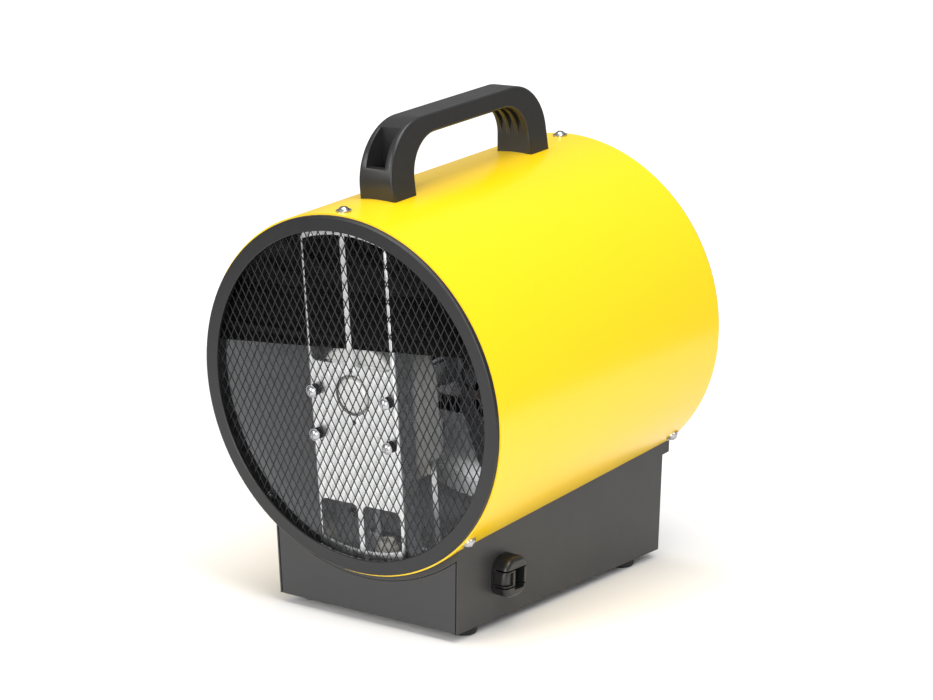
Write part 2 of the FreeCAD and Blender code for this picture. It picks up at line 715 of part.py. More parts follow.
# ---------------------------------------------------------------- heat shield and element
def make_heat_shield():
    """Polished liner with a flange against the outlet ring."""
    body = tube(liner_radius, liner_bore, liner_start, liner_end)
    body = body.fuse(tube(drum_bore, liner_bore, liner_end - 0.8, liner_end))
    holes = [rod(rivet_radius, polar(liner_bore - 5, a, rivet_y), polar(liner_radius + 2, a, rivet_y))
             for a in rivet_angles]
    return body.cut(Part.makeCompound(holes)).removeSplitter()


def make_shield_spacers():
    """Four folded spacers that keep the liner off the drum."""
    solids = []
    for angle in (45.0, 135.0, 225.0, 315.0):
        block = box(-6.0, 6.0, liner_start + 3, liner_start + 11, liner_radius - 5, drum_radius)
        block.rotate(V(0, 0, 0), V(0, 1, 0), 90 - angle)
        solids.append(block.common(tube(drum_bore, liner_radius, liner_start, liner_start + 20)))
    return Part.makeCompound(solids)


def make_element_plate():
    """Round plate that closes the liner round the element, with a turned rim."""
    body = rod(liner_bore, (0, element_start, 0), (0, element_start + 1, 0))
    body = body.fuse(tube(liner_bore, liner_bore - 0.8, element_start, element_start + 9))
    cuts = [box(-element_width / 2 + 1, element_width / 2 - 1, element_start - 1, element_start + 2,
                -element_height / 2 + 1, element_height / 2 - 1)]
    cuts += [rod(1.5, (x, element_start - 1, z), (x, element_start + 2, z)) for x, z in frame_screws]
    cuts += [rod(rivet_radius, polar(liner_bore - 5, a, rivet_y), polar(liner_radius + 2, a, rivet_y))
             for a in rivet_angles]
    cuts.append(rod(cutout_radius, (cutout_x, element_start - 1, 0), (cutout_x, element_start + 2, 0)))
    return body.cut(Part.makeCompound(cuts)).removeSplitter()


def make_shield_rivets():
    """Rivets joining the element plate's rim to the liner."""
    solids = []
    inside = rod(liner_bore - 0.8, (0, rivet_y - 5, 0), (0, rivet_y + 5, 0))
    outside = tube(drum_bore, liner_radius, rivet_y - 5, rivet_y + 5)
    for a in rivet_angles:
        shank = rod(rivet_radius, polar(liner_bore - 2.0, a, rivet_y), polar(liner_radius, a, rivet_y))
        head = rod(3.0, polar(liner_radius - 2.0, a, rivet_y), polar(liner_radius + 1.4, a, rivet_y))
        tail = rod(2.6, polar(liner_bore - 2.4, a, rivet_y), polar(liner_bore, a, rivet_y))
        solids.append(head.common(outside).fuse(shank).fuse(tail.common(inside)).removeSplitter())
    return Part.makeCompound(solids)


def make_thermal_cutout():
    """Disc thermostat on the element plate with two tabs."""
    y = element_start
    body = rod(8.0, (cutout_x, y - 8.0, 0), (cutout_x, y, 0))
    body = body.fuse(rod(cutout_radius, (cutout_x, y, 0), (cutout_x, y + 3.0, 0)))
    for side in (-1, 1):
        body = body.fuse(box(cutout_x - 0.4, cutout_x + 0.4, y - 15.0, y - 7.0, side * 4 - 2, side * 4 + 2))
    return body.removeSplitter()


def row_levels():
    """Bottom level of each element row."""
    return [-element_height / 2 + k * row_height for k in range(element_rows)]


def tab_levels():
    """Middle level of each ceramic bar."""
    return [level + fin_height + ceramic_height / 2 for level in row_levels()]


def make_ceramic_bars():
    """Ceramic heating bars, one in the middle of each row."""
    half = element_width / 2
    return Part.makeCompound([box(-half, half, element_start + 1, element_end, z + fin_height,
                                  z + fin_height + ceramic_height) for z in row_levels()])


def make_fin_packs():
    """Aluminium fin packs above and below each ceramic bar."""
    half = element_width / 2
    cells = int((element_width - fin_wall) / fin_pitch)
    pitch = (element_width - fin_wall) / cells
    y0 = element_start + 1
    solids = []
    for level in row_levels():
        for z in (level, level + fin_height + ceramic_height):
            face_wire = Part.makePolygon([V(-half, y0, z), V(half, y0, z), V(half, y0, z + fin_height),
                                          V(-half, y0, z + fin_height), V(-half, y0, z)])
            holes = []
            for k in range(cells):
                x0 = -half + fin_wall + k * pitch
                x1, z0, z1 = x0 + pitch - fin_wall, z + fin_wall, z + fin_height - fin_wall
                holes.append(Part.makePolygon([V(x0, y0, z0), V(x1, y0, z0), V(x1, y0, z1), V(x0, y0, z1),
                                               V(x0, y0, z0)]))
            solids.append(Part.Face([face_wire] + holes).extrude(V(0, element_depth, 0)))
    return Part.makeCompound(solids)


def make_element_frame():
    """Heat-proof frame round the bars and fins."""
    y0 = element_start + 1
    body = box(-frame_half_x, frame_half_x, y0, element_end, -frame_half_z, frame_half_z)
    cuts = [box(-element_width / 2, element_width / 2, y0 - 1, element_end + 1, -element_height / 2,
                element_height / 2)]
    cuts += [rod(1.5, (x, y0 - 1, z), (x, y0 + 12.0, z)) for x, z in frame_screws]
    cuts += [box(element_width / 2 - 1, frame_half_x + 1, tab_y0, tab_y0 + tab_depth, z - tab_wall / 2,
                 z + tab_wall / 2) for z in tab_levels()]
    return body.cut(Part.makeCompound(cuts))


def make_element_tabs():
    """Supply tabs of the ceramic bars, through the side of the frame."""
    return Part.makeCompound([box(element_width / 2, frame_half_x + 8.0, tab_y0, tab_y0 + tab_depth,
                                  z - tab_wall / 2, z + tab_wall / 2) for z in tab_levels()])


def make_element_screws():
    """Four screws through the plate into the frame."""
    solids = []
    for x, z in frame_screws:
        head = aim(dome_head(2.6, 1.2, 3.0, 0.8), (x, element_start, z), (0, -1, 0))
        solids.append(head.fuse(rod(1.5, (x, element_start, z), (x, element_start + 12.0, z))))
    return Part.makeCompound(solids)


def make_wire_bush():
    """Nylon bush where the leads pass from base to drum."""
    a, y = wire_bush_place
    drill = rod(wire_bush_radius - 1.6, polar(drum_bore - 9, a, y), polar(drum_radius + 9, a, y))
    neck = rod(wire_bush_radius, polar(drum_bore - 6, a, y), polar(drum_radius + saddle_wall + 2, a, y))
    collar = rod(wire_bush_radius + 2, polar(drum_bore - 3, a, y), polar(drum_bore + 1, a, y))
    collar = collar.common(rod(drum_bore, (0, y - 20, 0), (0, y + 20, 0)))
    return neck.fuse(collar).cut(drill).removeSplitter()


# ---------------------------------------------------------------- base
def base_space(half, y0, y1, z0):
    """A block under the drum, up to the drum axis: sides and any intake-end face lean outwards."""
    rise0, rise1 = z0 - base_bottom, axis_height - base_bottom
    wide0, wide1 = half + side_flare * rise0, half + side_flare * rise1

    def back(y, rise):
        return (front_flare * rise if y < 0 else 0.0) - y

    block = Part.makeWedge(-wide0, z0, back(y1, rise0), back(y1, rise1), -wide1,
                           wide0, axis_height, back(y0, rise0), back(y0, rise1), wide1)
    block.rotate(V(0, 0, 0), V(1, 0, 0), 90)
    return block


def on_side_wall(shape):
    """Lean a piece drawn against an upright side wall to the wall's own slope."""
    placed = shape.copy()
    placed.rotate(V(base_half_width, 0, base_bottom), V(0, 1, 0), math.degrees(math.atan(side_flare)))
    return placed


def make_base_shell():
    """Side walls and saddle in one folding, with end lips and bottom flanges."""
    outside = base_space(base_half_width, base_front, base_rear, base_bottom)
    inside = base_space(side_inner, base_front - 1, base_rear + 1, base_bottom - 1)
    body = outside.cut(inside.cut(drum_space(drum_radius + saddle_wall)))
    lip_ring = drum_space(drum_radius + saddle_wall + seam_drop)
    for y0, y1 in ((base_front, base_front + base_wall), (base_rear - base_wall, base_rear)):
        body = body.fuse(base_space(side_inner, y0, y1, base_bottom).common(lip_ring))
    tail = base_space(base_half_width, base_rear, base_rear + saddle_overhang, base_bottom)
    tail_inner = base_space(side_inner, base_rear - 1, base_rear + saddle_overhang + 1, base_bottom)
    tail = tail.common(drum_space(drum_radius + 6.0))
    tail = tail.cut(tail_inner.cut(drum_space(drum_radius + saddle_wall)))
    body = body.fuse(tail)
    for side in (-1, 1):
        x0, x1 = sorted((side * (side_inner + base_wall / 2), side * (side_inner - base_flange)))
        body = body.fuse(box(x0, x1, base_front + 14, base_rear - 14, base_bottom + bottom_sheet,
                             base_bottom + bottom_sheet + base_wall))
    body = body.cut(drum_space(drum_radius))
    holes = [in_drum(rod(saddle_screw_radius + screw_clearance, polar(drum_bore - 2, a, y),
                         polar(drum_radius + 4, a, y))) for a, y in saddle_screw_places]
    a, y = wire_bush_place
    holes.append(in_drum(rod(wire_bush_radius, polar(drum_bore - 2, a, y), polar(drum_radius + 4, a, y))))
    holes.append(on_side_wall(box(side_inner - 2, base_half_width + 2, gland_y - neck_half_y,
                                  gland_y + neck_half_y, gland_z - neck_half_z, gland_z + neck_half_z)))
    holes += [rod(1.5, (x, y, base_bottom), (x, y, base_bottom + 5)) for x, y in side_screw_places]
    holes += [rod(4.8, (x, y, base_bottom), (x, y, base_bottom + 5)) for x, y in foot_places]
    return body.cut(Part.makeCompound(holes)).removeSplitter()


def make_end_panel(end):
    """Intake or outlet panel of the base: flat face, arched top, flanges at sides and bottom."""
    face, step = (base_front, 1) if end < 0 else (base_rear, -1)
    edge = face + step * panel_flange
    f0, f1 = sorted((face, edge))
    hollow = sorted((face + step * base_wall, edge + step))
    body = base_space(panel_half, f0, f1, base_bottom)
    body = body.cut(base_space(panel_half - base_wall, *hollow, base_bottom - 1))
    body = body.cut(box(-drum_radius, drum_radius, *hollow, base_bottom - 1, base_bottom + 3))
    body = body.fuse(box(-panel_half + base_flange + 2, panel_half - base_flange - 2, f0, f1,
                         base_bottom + bottom_sheet, base_bottom + bottom_sheet + base_wall))
    body = body.cut(drum_space(panel_top_radius))
    holes = [rod(1.5, (x, y, base_bottom), (x, y, base_bottom + 5)) for x, y in panel_screw_places]
    if end > 0:
        holes += [rod(bushing_radius, (x, face - 5, control_height), (x, face + 5, control_height))
                  for x in control_places]
        holes.append(rod(lamp_radius, (0, face - 5, lamp_height), (0, face + 5, lamp_height)))
    return body.cut(Part.makeCompound(holes)).removeSplitter()


def make_bottom_plate():
    """Flat bottom plate with air slots."""
    body = plate_along_z(rectangle(-panel_half, panel_half, base_front + base_wall + panel_gap,
                                   base_rear - base_wall - panel_gap, 2.0),
                         base_bottom, base_bottom + bottom_sheet)
    cuts = [rod(1.5, (x, y, base_bottom - 1), (x, y, base_bottom + 3))
            for x, y in side_screw_places + panel_screw_places]
    cuts += [rod(2.0, (x, y, base_bottom - 1), (x, y, base_bottom + 3)) for x, y in foot_places]
    middle = (base_front + base_rear) / 2
    for k in range(-4, 5):
        outline = rectangle(-20, 20, middle + k * 8 - 1.5, middle + k * 8 + 1.5, 1.4)
        cuts.append(plate_along_z(outline, base_bottom - 1, base_bottom + 3))
    cuts += [rod(1.5, (x, y, base_bottom - 1), (x, y, base_bottom + 3)) for x, y in terminal_screw_places]
    return body.cut(Part.makeCompound(cuts))


def make_base_screws():
    """Screws from below into the shell flanges and the panel flanges."""
    solids = []
    for x, y in side_screw_places + panel_screw_places:
        head = aim(dome_head(2.8, 1.3, 3.2, 0.7), (x, y, base_bottom), (0, 0, -1))
        solids.append(head.fuse(rod(1.5, (x, y, base_bottom), (x, y, base_bottom + 5))))
    return Part.makeCompound(solids)


def make_saddle_screws():
    """Screws from inside the drum into the base saddle."""
    solids = []
    for a, y in saddle_screw_places:
        inward = tuple(-c for c in polar(1, a, 0))
        seat = drum_bore * math.cos(math.asin(4.0 / drum_bore)) - 0.02
        head = aim(dome_head(3.0, 1.5, 3.9, 0.7), polar(seat, a, y), inward)
        solids.append(head.fuse(rod(saddle_screw_radius, polar(seat, a, y), polar(drum_radius + 6, a, y))))
    return Part.makeCompound(solids)


def make_saddle_nuts():
    """Nuts under the saddle, one on each saddle screw."""
    nut = hex_nut(7.0, 3.0, saddle_screw_radius)
    seat = drum_radius + saddle_wall + 0.02
    return Part.makeCompound([aim(nut, polar(seat, a, y), polar(1, a, 0)) for a, y in saddle_screw_places])


def make_feet():
    """Rubber feet with a recess for the screw head."""
    solids = []
    for x, y in foot_places:
        points = [(2.0, 2.4), (4.6, 2.4), (4.6, 0.0), (foot_radius - 1.8, 0.0), (foot_radius - 0.5, 0.7),
                  (foot_radius, 2.0), (foot_radius, foot_height), (2.0, foot_height)]
        solids.append(turned_z(points, (x, y, 0)))
    return Part.makeCompound(solids)


def make_foot_screws():
    """Screws up through the feet."""
    solids = []
    for x, y in foot_places:
        head = rod(3.8, (x, y, 0.8), (x, y, 2.4))
        for slot in cross_slots((x, y, 0.8), "Z", 2.2, 0.8):
            head = head.cut(slot)
        solids.append(head.fuse(rod(2.0, (x, y, 2.4), (x, y, foot_height + 6.0))))
    return Part.makeCompound(solids)


def make_foot_nuts():
    """Nuts inside the base on the foot screws."""
    z = base_bottom + bottom_sheet
    return Part.makeCompound([aim(hex_nut(7.0, 3.0, 2.0), (x, y, z), (0, 0, 1)) for x, y in foot_places])


# ---------------------------------------------------------------- cord gland
def make_gland_body():
    """Moulded strain relief on the side wall, open for the cord."""
    x0, x1 = base_half_width, base_half_width + gland_depth
    outline = rectangle(gland_y - gland_width / 2, gland_y + gland_width / 2, gland_z - gland_height / 2,
                        gland_z + gland_height / 2, 8.5)
    body = plate_along_x(outline, x0, x1)
    rim = [e for e in body.Edges if e.BoundBox.XMin > x1 - 0.01]
    body = body.makeFillet(3.0, rim)
    body = body.fuse(box(side_inner - 9.0, x0, gland_y - neck_half_y, gland_y + neck_half_y,
                         gland_z - neck_half_z, gland_z + neck_half_z))
    cuts = [box(side_inner - 10, x1 + 1, hole_y - cord_hole_width / 2, hole_y + cord_hole_width / 2,
                hole_z - cord_hole_height / 2, hole_z + cord_hole_height / 2),
            box(x0 + 1.5, x1 + 1, gland_y - gland_width / 2 - 1, hole_y - cord_hole_width / 2 - 2.0,
                gland_z - wedge_half, gland_z + wedge_half)]
    for side in (-1, 1):
        z = gland_z + side * (wedge_half + 1.2)
        cuts.append(box(x0 + 3, x1 + 1, gland_y - gland_width / 2 - 1, gland_y + gland_width / 2 + 1,
                        z - 0.5, z + 0.5))
    return on_side_wall(body.cut(Part.makeCompound(cuts)).removeSplitter())


def make_gland_wedge():
    """Locking wedge pushed into the gland's side slot."""
    x0, x1 = base_half_width + 1.5, base_half_width + gland_depth - 1.2
    y1 = hole_y - cord_hole_width / 2 - 2.0
    outline = [(x0, gland_y - gland_width / 2 + 0.6, 0), (x1, gland_y - gland_width / 2 + 0.6, 3.0),
               (x1, y1, 0), (x0, y1, 0)]
    return on_side_wall(plate_along_z(outline, gland_z - wedge_half + 0.15, gland_z + wedge_half - 0.15))


def make_gland_nut():
    """Lock plate behind the wall, round the gland's neck."""
    outline = rectangle(gland_y - gland_width / 2, gland_y + gland_width / 2, gland_z - gland_height / 2 + 1,
                        gland_z + gland_height / 2 - 1, 3.0)
    body = plate_along_x(outline, side_inner - 3.0, side_inner)
    return on_side_wall(body.cut(box(side_inner - 4, side_inner + 1, gland_y - neck_half_y,
                                     gland_y + neck_half_y, gland_z - neck_half_z, gland_z + neck_half_z)))


def make_terminal_block():
    """Three-pole terminal block on the bottom plate."""
    z0 = base_bottom + bottom_sheet
    body = box(terminal_x - 9, terminal_x + 9, terminal_y - 20, terminal_y + 20, z0, z0 + 8)
    cuts = [rod(1.5, (x, y, z0 - 1), (x, y, z0 + 10)) for x, y in terminal_screw_places]
    for k in range(terminal_poles):
        y = terminal_y + (k - 1) * 9.0
        body = body.fuse(box(terminal_x - 9, terminal_x + 9, y - 3.6, y + 3.6, z0 + 8, z0 + 15))
        cuts.append(rod(2.0, (terminal_x - 10, y, z0 + 9), (terminal_x + 10, y, z0 + 9)))
        for dx in (-4.5, 4.5):
            cuts.append(rod(1.8, (terminal_x + dx, y, z0 + 11), (terminal_x + dx, y, z0 + 16)))
    return body.cut(Part.makeCompound(cuts)).removeSplitter()


def make_terminal_screws():
    """Screws that fix the terminal block from below."""
    solids = []
    for x, y in terminal_screw_places:
        head = aim(dome_head(2.6, 1.2, 3.0, 0.7), (x, y, base_bottom), (0, 0, -1))
        solids.append(head.fuse(rod(1.5, (x, y, base_bottom), (x, y, base_bottom + 8))))
    return Part.makeCompound(solids)


# ---------------------------------------------------------------- controls on the outlet panel
def control_body(x, shape):
    """Common to both controls: threaded bushing through the panel and a bore for the spindle."""
    z = control_height
    body = shape.fuse(rod(bushing_radius, (x, panel_inner - 1, z), (x, base_rear + bushing_length, z)))
    return body.cut(rod(spindle_radius + running_gap, (x, panel_inner - 14, z), (x, base_rear + 10, z)))


def make_mode_switch():
    """Square rotary switch with four tabs."""
    x, z = control_places[0], control_height
    half = 14.0
    outline = rectangle(x - half, x + half, z - half, z + half, 2.0)
    shape = plate_along_y(outline, panel_inner - 20, panel_inner)
    for dx in (-8.0, 8.0):
        for dz in (-5.0, 5.0):
            shape = shape.fuse(box(x + dx - 3.1, x + dx + 3.1, panel_inner - 28, panel_inner - 19,
                                   z + dz - 0.4, z + dz + 0.4))
    return control_body(x, shape).removeSplitter()


def make_room_thermostat():
    """Round room thermostat with two tabs."""
    x, z = control_places[1], control_height
    shape = rod(15.0, (x, panel_inner - 18, z), (x, panel_inner, z))
    for dx in (-6.0, 6.0):
        shape = shape.fuse(box(x + dx - 3.1, x + dx + 3.1, panel_inner - 26, panel_inner - 17,
                               z - 0.4, z + 0.4))
    return control_body(x, shape).removeSplitter()


def make_control_nuts():
    """Panel nuts on the two bushings."""
    nut = hex_nut(14.0, 2.4, bushing_radius)
    return Part.makeCompound([aim(nut, (x, base_rear, control_height), (0, 1, 0)) for x in control_places])


def make_spindle(x):
    """Control spindle with a flat for its knob."""
    z = control_height
    body = rod(spindle_radius, (x, panel_inner - 12, z), (x, spindle_end, z))
    return body.cut(box(x - 5, x + 5, base_rear + bushing_length + 1, spindle_end + 1, z + 1.8, z + 5))


def make_knob(x):
    """Control knob: skirt, tapered grip bar and pointer groove; bored for its spindle."""
    z = control_height
    face = base_rear + 1.2
    skirt = Part.makeCone(knob_radius, knob_radius - 1.2, 7.0, V(x, face, z), V(0, 1, 0))
    bar_outline = [(x - 3.4, z - knob_radius + 1.4, 2.0), (x + 3.4, z - knob_radius + 1.4, 2.0),
                   (x + 2.6, z + knob_radius - 1.4, 1.6), (x - 2.6, z + knob_radius - 1.4, 1.6)]
    bar = plate_along_y(bar_outline, face + 6.0, face + knob_height)
    body = skirt.fuse(bar)
    spindle_hole = make_spindle(x)
    cuts = [rod(8.6, (x, face - 1, z), (x, base_rear + bushing_length + 0.6, z)), spindle_hole,
            box(x - 0.6, x + 0.6, face + knob_height - 0.8, face + knob_height + 1, z + 1, z + knob_radius)]
    return body.cut(Part.makeCompound(cuts)).removeSplitter()


def make_indicator_lamp():
    """Neon indicator: domed lens outside, body inside."""
    y = base_rear
    lens = rod(lamp_radius + 1.2, (0, y, lamp_height), (0, y + 2.2, lamp_height))
    edge = [e for e in lens.Edges if e.BoundBox.YMin > y + 2.1]
    lens = lens.makeFillet(1.2, edge)
    body = lens.fuse(rod(lamp_radius, (0, y - 16, lamp_height), (0, y, lamp_height)))
    for dx in (-2.2, 2.2):
        body = body.fuse(box(dx - 0.3, dx + 0.3, y - 22, y - 15, lamp_height - 1.4, lamp_height + 1.4))
    return body.removeSplitter()


# ---------------------------------------------------------------- handle
def handle_half(z):
    """Half the width of the handle at a height over the drum axis."""
    return handle_width / 2 - handle_draft * (z - handle_root)


def make_handle():
    """Moulded bridge handle, saddle-shaped under its feet, with screw pockets and finned inner corners."""
    root, half, top = handle_root, handle_half(handle_root), handle_half(handle_top)
    inner_front = handle_front + leg_thickness_front
    inner_rear = handle_rear - leg_thickness_rear
    outline = [(handle_front, root, 0), (handle_front + lean_front, handle_top, corner_outer_front),
               (handle_rear + lean_rear, handle_top, corner_outer_rear), (handle_rear, root, 0),
               (inner_rear, root, 0), (inner_rear, underside, corner_inner_rear),
               (inner_front, underside, corner_inner_front), (inner_front, root, 0)]
    body = plate_along_x(outline, -half, half)
    drafted = [(-half, root, 0), (half, root, 0), (top, handle_top, 0), (-top, handle_top, 0)]
    body = body.common(plate_along_y(drafted, handle_front + lean_front - 1, handle_rear + 1))
    sides = [e for e in body.Edges if e.BoundBox.ZMax > root + 1
             and all(abs(abs(p.X) - handle_half(p.Z)) < 0.01 for p in e.Vertexes)
             and e.Vertexes[0].X * e.Vertexes[-1].X > 0]
    body = body.makeFillet(handle_rounding, sides)
    body = body.cut(rod(drum_radius, (0, -drum_length, 0), (0, drum_length, 0)))
    cuts = []
    for outer, inner, side in ((handle_front, inner_front, -1), (handle_rear, inner_rear, 1)):
        back = inner + side * pocket_wall
        well = sorted((back, outer - side * pocket_wall))
        cuts.append(box(-pocket_width / 2, pocket_width / 2, *well, pocket_floor, handle_top + 5))
        mouth = sorted((back, outer + side * 15))
        cuts.append(box(-pocket_width / 2, pocket_width / 2, *mouth, pocket_sill, handle_top + 5))
    for step in slot_steps:
        x0 = step * slot_pitch - slot_width / 2
        for corner_y, radius, side in ((inner_front, corner_inner_front, -1),
                                       (inner_rear, corner_inner_rear, 1)):
            edge = sorted((corner_y - side * radius, corner_y))
            cuts.append(box(x0, x0 + slot_width, *edge, underside - radius, underside))
    bores = [rod(handle_bolt_radius + screw_clearance, (0, y, root - 5), (0, y, pocket_floor + 5))
             for y in handle_screw_y]
    return body.cut(Part.makeCompound(cuts)).cut(Part.makeCompound(bores)).removeSplitter()


def make_handle_screws():
    """Screws down each leg into the drum."""
    solids = []
    for y in handle_screw_y:
        head = dome_head(3.6, 2.0, 4.2, 0.8)
        head.translate(V(0, y, pocket_floor))
        solids.append(head.fuse(rod(handle_bolt_radius, (0, y, drum_bore - 3.4), (0, y, pocket_floor))))
    return Part.makeCompound(solids)


def make_handle_nuts():
    """Flanged nuts under the drum wall."""
    solids = []
    for y in handle_screw_y:
        seat = drum_bore * math.cos(math.asin(4.1 / drum_bore)) - 0.02
        solids.append(aim(hex_nut(7.0, 2.6, handle_bolt_radius), (0, y, seat - 2.6), (0, 0, 1)))
    return Part.makeCompound(solids)


# ---------------------------------------------------------------- assembly
def all_pieces():
    """Every piece by name, placed over the floor with the drum's middle over Y = 0."""
    drum = {
        "drum_tube": make_drum_tube(), "intake_ring": make_ring(-1), "outlet_ring": make_ring(1),
        "intake_mesh": make_mesh(-1), "outlet_mesh": make_mesh(1), "tube_screws": make_tube_screws(),
        "tube_nuts": make_tube_nuts(), "motor_bracket": make_motor_bracket(),
        "motor_grommets": make_motor_grommets(), "motor_bolts": make_motor_bolts(),
        "motor_nuts": make_motor_nuts(), "motor_shield_front": make_shield(-1),
        "motor_shield_rear": make_shield(1), "motor_strap": make_motor_strap(),
        "stator_stack": make_stator_stack(), "coil_bobbin": make_coil_bobbin(),
        "stator_coil": make_stator_coil(), "motor_bearings": make_motor_bearings(),
        "motor_shaft": make_motor_shaft(), "rotor": make_rotor(), "fan_hub": make_fan_hub(),
        "fan_impeller": make_fan_impeller(), "fan_nut": make_fan_nut(), "heat_shield": make_heat_shield(),
        "shield_spacers": make_shield_spacers(), "shield_rivets": make_shield_rivets(),
        "element_plate": make_element_plate(), "ceramic_bars": make_ceramic_bars(),
        "fin_packs": make_fin_packs(), "element_frame": make_element_frame(),
        "element_tabs": make_element_tabs(), "element_screws": make_element_screws(),
        "thermal_cutout": make_thermal_cutout(), "wire_bush": make_wire_bush(),
        "saddle_screws": make_saddle_screws(), "saddle_nuts": make_saddle_nuts(), "handle": make_handle(),
        "handle_screws": make_handle_screws(), "handle_nuts": make_handle_nuts(),
    }
    pieces = {name: in_drum(shape) for name, shape in drum.items()}
    pieces.update({
        "base_shell": make_base_shell(), "intake_panel": make_end_panel(-1),
        "outlet_panel": make_end_panel(1),
        "bottom_plate": make_bottom_plate(), "base_screws": make_base_screws(), "feet": make_feet(),
        "foot_screws": make_foot_screws(), "foot_nuts": make_foot_nuts(), "gland_body": make_gland_body(),
        "gland_wedge": make_gland_wedge(), "gland_nut": make_gland_nut(),
        "terminal_block": make_terminal_block(), "terminal_screws": make_terminal_screws(),
        "mode_switch": make_mode_switch(), "room_thermostat": make_room_thermostat(),
        "control_nuts": make_control_nuts(), "mode_spindle": make_spindle(control_places[0]),
        "thermostat_spindle": make_spindle(control_places[1]), "mode_knob": make_knob(control_places[0]),
        "thermostat_knob": make_knob(control_places[1]), "indicator_lamp": make_indicator_lamp(),
    })
    return pieces


def main():
    """Centre the model over the origin and write one STEP file per piece."""
    pieces = all_pieces()
    extent = FreeCAD.BoundBox()
    for shape in pieces.values():
        extent.add(shape.optimalBoundingBox(True, False))
    shift = V(0, -(extent.YMin + extent.YMax) / 2, 0)
    os.makedirs("parts", exist_ok=True)
    for name, shape in pieces.items():
        shape.translate(shift)
        shape.exportStep("parts/" + name + ".step")
    print("pieces", len(pieces), "drum middle at y", round(shift.y, 3), "size",
          round(extent.XLength, 2), round(extent.YLength, 2), round(extent.ZLength, 2))


main()
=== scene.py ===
"""Looks of the portable drum fan heater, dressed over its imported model.

Each sub-assembly is a class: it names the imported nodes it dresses, builds the meshes that stand for the
plain ones, and gives every piece the finish that the real one has.  All lengths are metres unless a name
ends in _mm.
"""
import json
import logging
import math
from dataclasses import dataclass, field
from enum import Enum
from typing import Callable, Iterable, Sequence

import bmesh
import bpy
from mathutils import Matrix, Vector


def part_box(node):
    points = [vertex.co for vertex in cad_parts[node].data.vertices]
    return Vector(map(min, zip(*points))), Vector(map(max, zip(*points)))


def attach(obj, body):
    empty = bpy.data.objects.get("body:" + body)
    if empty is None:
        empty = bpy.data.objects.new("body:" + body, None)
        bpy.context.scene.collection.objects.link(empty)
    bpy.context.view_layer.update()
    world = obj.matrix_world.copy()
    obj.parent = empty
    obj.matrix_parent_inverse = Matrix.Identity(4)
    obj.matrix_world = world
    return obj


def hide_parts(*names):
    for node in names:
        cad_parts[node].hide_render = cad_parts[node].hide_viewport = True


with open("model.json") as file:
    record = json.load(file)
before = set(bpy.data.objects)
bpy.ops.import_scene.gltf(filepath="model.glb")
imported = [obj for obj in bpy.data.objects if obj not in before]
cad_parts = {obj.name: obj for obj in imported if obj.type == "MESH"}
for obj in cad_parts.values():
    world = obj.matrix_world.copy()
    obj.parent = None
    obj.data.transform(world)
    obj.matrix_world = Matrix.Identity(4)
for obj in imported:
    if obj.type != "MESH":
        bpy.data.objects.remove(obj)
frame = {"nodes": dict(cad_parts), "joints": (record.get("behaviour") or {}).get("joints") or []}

LOG = logging.getLogger("heater")
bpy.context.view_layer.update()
MM = 0.001


# ----------------------------------------------------------------------------------------- colour and nodes
def linear(code: str) -> tuple[float, float, float, float]:
    """Turn an sRGB hex colour into linear RGBA.

    Args:
        code: six hex digits after a hash mark.

    Returns:
        Red, green, blue and an alpha of one.
    """
    parts = [int(code[i:i + 2], 16) / 255 for i in (1, 3, 5)]
    turned = [c / 12.92 if c <= 0.04045 else ((c + 0.055) / 1.055) ** 2.4 for c in parts]
    return (*turned, 1.0)


def per_mm(size_mm: float) -> float:
    """Return the texture scale whose features are about size_mm across, for coordinates in metres."""
    return 1.0 / (size_mm * MM)


def add_node(tree: bpy.types.NodeTree, kind: str, links: dict | None = None, **settings) -> bpy.types.Node:
    """Add a node, set its properties or socket values, and link its inputs.

    Args:
        tree: the node tree to add to.
        kind: the node's type without its prefix, such as "TexNoise".
        links: input name or index to the output socket that feeds it.
        **settings: property values, or socket values as in_<socket name or index>.

    Returns:
        The new node.
    """
    node = tree.nodes.new("ShaderNode" + kind)
    for name, value in settings.items():
        if name.startswith("in_"):
            key = name[3:].replace("_", " ")
            node.inputs[int(key) if key.isdigit() else key].default_value = value
        else:
            setattr(node, name, value)
    for key, source in (links or {}).items():
        tree.links.new(source, node.inputs[key])
    return node


class Grain(Enum):
    """The relief that a surface carries."""

    ORANGE_PEEL = "orange peel of a flowed powder coat"
    FINE_TEXTURE = "sand-like texture of a matt powder coat"
    SPARK = "spark-eroded mould texture"
    SMOOTH = "polished or rolled surface"


